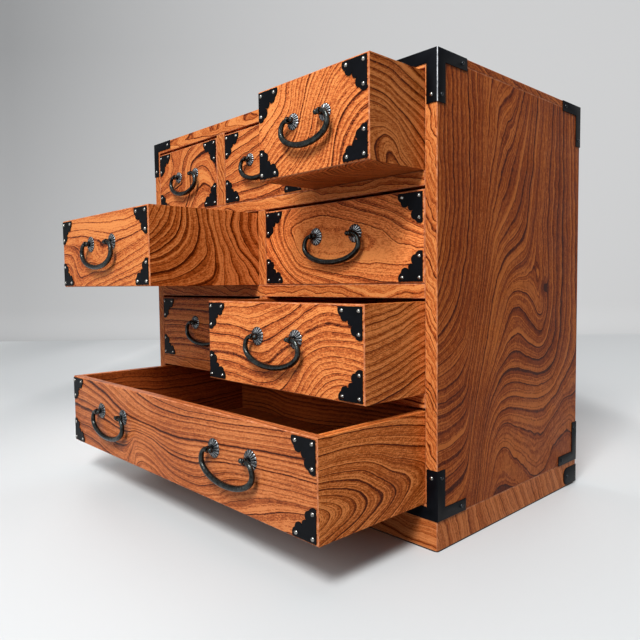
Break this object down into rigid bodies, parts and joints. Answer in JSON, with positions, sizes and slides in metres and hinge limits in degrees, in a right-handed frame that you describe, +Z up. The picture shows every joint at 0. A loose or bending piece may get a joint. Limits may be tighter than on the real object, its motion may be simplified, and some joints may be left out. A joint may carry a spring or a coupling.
{
  "type": "tansu chest",
  "caption": "Small Japanese tansu chest in figured keyaki wood with sliding drawers, black iron corner mounts, domed nails and swinging bail pulls on fluted rosettes.",
  "frame": {"origin": "centre of the underside of the felt under the plinth, on the surface that the chest stands on", "axes": "+Z up, +X to the chest's right as seen from its front, -Y out of the drawer fronts"},
  "size_m": [0.4542, 0.3928, 0.405],
  "materials": {
    "case_wood": "semi-gloss lacquer over figured grain",
    "back_wood": "plain, thinly lacquered",
    "drawer_front_wood": "semi-gloss lacquer over bold figured grain",
    "drawer_box_wood": "satin, straight grain",
    "felt": "black felt",
    "black_iron": "satin black",
    "nail_steel": "domed heads, half polished",
    "gunmetal": "dark gunmetal, lightly hammered"
  },
  "bodies": {
    "case": {"side_left": "case_wood", "side_right": "case_wood", "top_board": "case_wood", "bottom_board": "case_wood", "back_panel": "back_wood", "shelf_upper": "case_wood", "shelf_middle": "case_wood", "shelf_lower": "case_wood", "divider_top_left": "case_wood", "divider_top_right": "case_wood", "divider_upper": "case_wood", "divider_lower": "case_wood", "plinth": "case_wood", "base_felt": "felt", "corner_irons_front": "black_iron", "corner_irons_rear": "black_iron", "plinth_irons": "black_iron", "case_nails": "nail_steel"},
    "top_left_drawer": {"top_left_front": "drawer_front_wood", "top_left_box": "drawer_box_wood", "top_left_irons": "black_iron", "top_left_posts": "gunmetal"},
    "top_left_bail": {"top_left_bail": "gunmetal"},
    "top_middle_drawer": {"top_middle_front": "drawer_front_wood", "top_middle_box": "drawer_box_wood", "top_middle_irons": "black_iron", "top_middle_posts": "gunmetal"},
    "top_middle_bail": {"top_middle_bail": "gunmetal"},
    "top_right_drawer": {"top_right_front": "drawer_front_wood", "top_right_box": "drawer_box_wood", "top_right_irons": "black_iron", "top_right_posts": "gunmetal"},
    "top_right_bail": {"top_right_bail": "gunmetal"},
    "upper_left_drawer": {"upper_left_front": "drawer_front_wood", "upper_left_box": "drawer_box_wood", "upper_left_irons": "black_iron", "upper_left_posts": "gunmetal"},
    "upper_left_bail": {"upper_left_bail": "gunmetal"},
    "upper_right_drawer": {"upper_right_front": "drawer_front_wood", "upper_right_box": "drawer_box_wood", "upper_right_irons": "black_iron", "upper_right_posts": "gunmetal"},
    "upper_right_bail": {"upper_right_bail": "gunmetal"},
    "lower_left_drawer": {"lower_left_front": "drawer_front_wood", "lower_left_box": "drawer_box_wood", "lower_left_irons": "black_iron", "lower_left_posts": "gunmetal"},
    "lower_left_bail": {"lower_left_bail": "gunmetal"},
    "lower_right_drawer": {"lower_right_front": "drawer_front_wood", "lower_right_box": "drawer_box_wood", "lower_right_irons": "black_iron", "lower_right_posts": "gunmetal"},
    "lower_right_bail": {"lower_right_bail": "gunmetal"},
    "long_drawer": {"long_front": "drawer_front_wood", "long_box": "drawer_box_wood", "long_irons": "black_iron", "long_posts": "gunmetal"},
    "long_bail_left": {"long_bail_left": "gunmetal"},
    "long_bail_right": {"long_bail_right": "gunmetal"}
  },
  "joints": [
    {"name": "top_left_slide", "type": "slide", "parent": "case", "child": "top_left_drawer", "axis": [0, -1, 0], "range_m": [0, 0.17]},
    {"name": "top_left_bail_swing", "type": "hinge", "parent": "top_left_drawer", "child": "top_left_bail", "pos_m": [-0.147, -0.1332, 0.35515], "axis": [-1, 0, 0], "range_deg": [-7, 175]},
    {"name": "top_middle_slide", "type": "slide", "parent": "case", "child": "top_middle_drawer", "axis": [0, -1, 0], "range_m": [0, 0.17]},
    {"name": "top_middle_bail_swing", "type": "hinge", "parent": "top_middle_drawer", "child": "top_middle_bail", "pos_m": [0, -0.1332, 0.35515], "axis": [-1, 0, 0], "range_deg": [-7, 175]},
    {"name": "top_right_slide", "type": "slide", "parent": "case", "child": "top_right_drawer", "axis": [0, -1, 0], "range_m": [-0.0655, 0.1045]},
    {"name": "top_right_bail_swing", "type": "hinge", "parent": "top_right_drawer", "child": "top_right_bail", "pos_m": [0.147, -0.1987, 0.35515], "axis": [-1, 0, 0], "range_deg": [-7, 175]},
    {"name": "upper_left_slide", "type": "slide", "parent": "case", "child": "upper_left_drawer", "axis": [0, -1, 0], "range_m": [-0.1275, 0.0425]},
    {"name": "upper_left_bail_swing", "type": "hinge", "parent": "upper_left_drawer", "child": "upper_left_bail", "pos_m": [-0.1095, -0.2607, 0.2664], "axis": [-1, 0, 0], "range_deg": [-7, 175]},
    {"name": "upper_right_slide", "type": "slide", "parent": "case", "child": "upper_right_drawer", "axis": [0, -1, 0], "range_m": [0, 0.17]},
    {"name": "upper_right_bail_swing", "type": "hinge", "parent": "upper_right_drawer", "child": "upper_right_bail", "pos_m": [0.1095, -0.1332, 0.2664], "axis": [-1, 0, 0], "range_deg": [-7, 175]},
    {"name": "lower_left_slide", "type": "slide", "parent": "case", "child": "lower_left_drawer", "axis": [0, -1, 0], "range_m": [0, 0.17]},
    {"name": "lower_left_bail_swing", "type": "hinge", "parent": "lower_left_drawer", "child": "lower_left_bail", "pos_m": [-0.1095, -0.1332, 0.17565], "axis": [-1, 0, 0], "range_deg": [-7, 175]},
    {"name": "lower_right_slide", "type": "slide", "parent": "case", "child": "lower_right_drawer", "axis": [0, -1, 0], "range_m": [-0.0725, 0.0975]},
    {"name": "lower_right_bail_swing", "type": "hinge", "parent": "lower_right_drawer", "child": "lower_right_bail", "pos_m": [0.1095, -0.2057, 0.17565], "axis": [-1, 0, 0], "range_deg": [-7, 175]},
    {"name": "long_slide", "type": "slide", "parent": "case", "child": "long_drawer", "axis": [0, -1, 0], "range_m": [-0.121, 0.049]},
    {"name": "long_bail_left_swing", "type": "hinge", "parent": "long_drawer", "child": "long_bail_left", "pos_m": [-0.11, -0.2542, 0.0844], "axis": [-1, 0, 0], "range_deg": [-7, 175]},
    {"name": "long_bail_right_swing", "type": "hinge", "parent": "long_drawer", "child": "long_bail_right", "pos_m": [0.11, -0.2542, 0.0844], "axis": [-1, 0, 0], "range_deg": [-7, 175]}
  ]
}
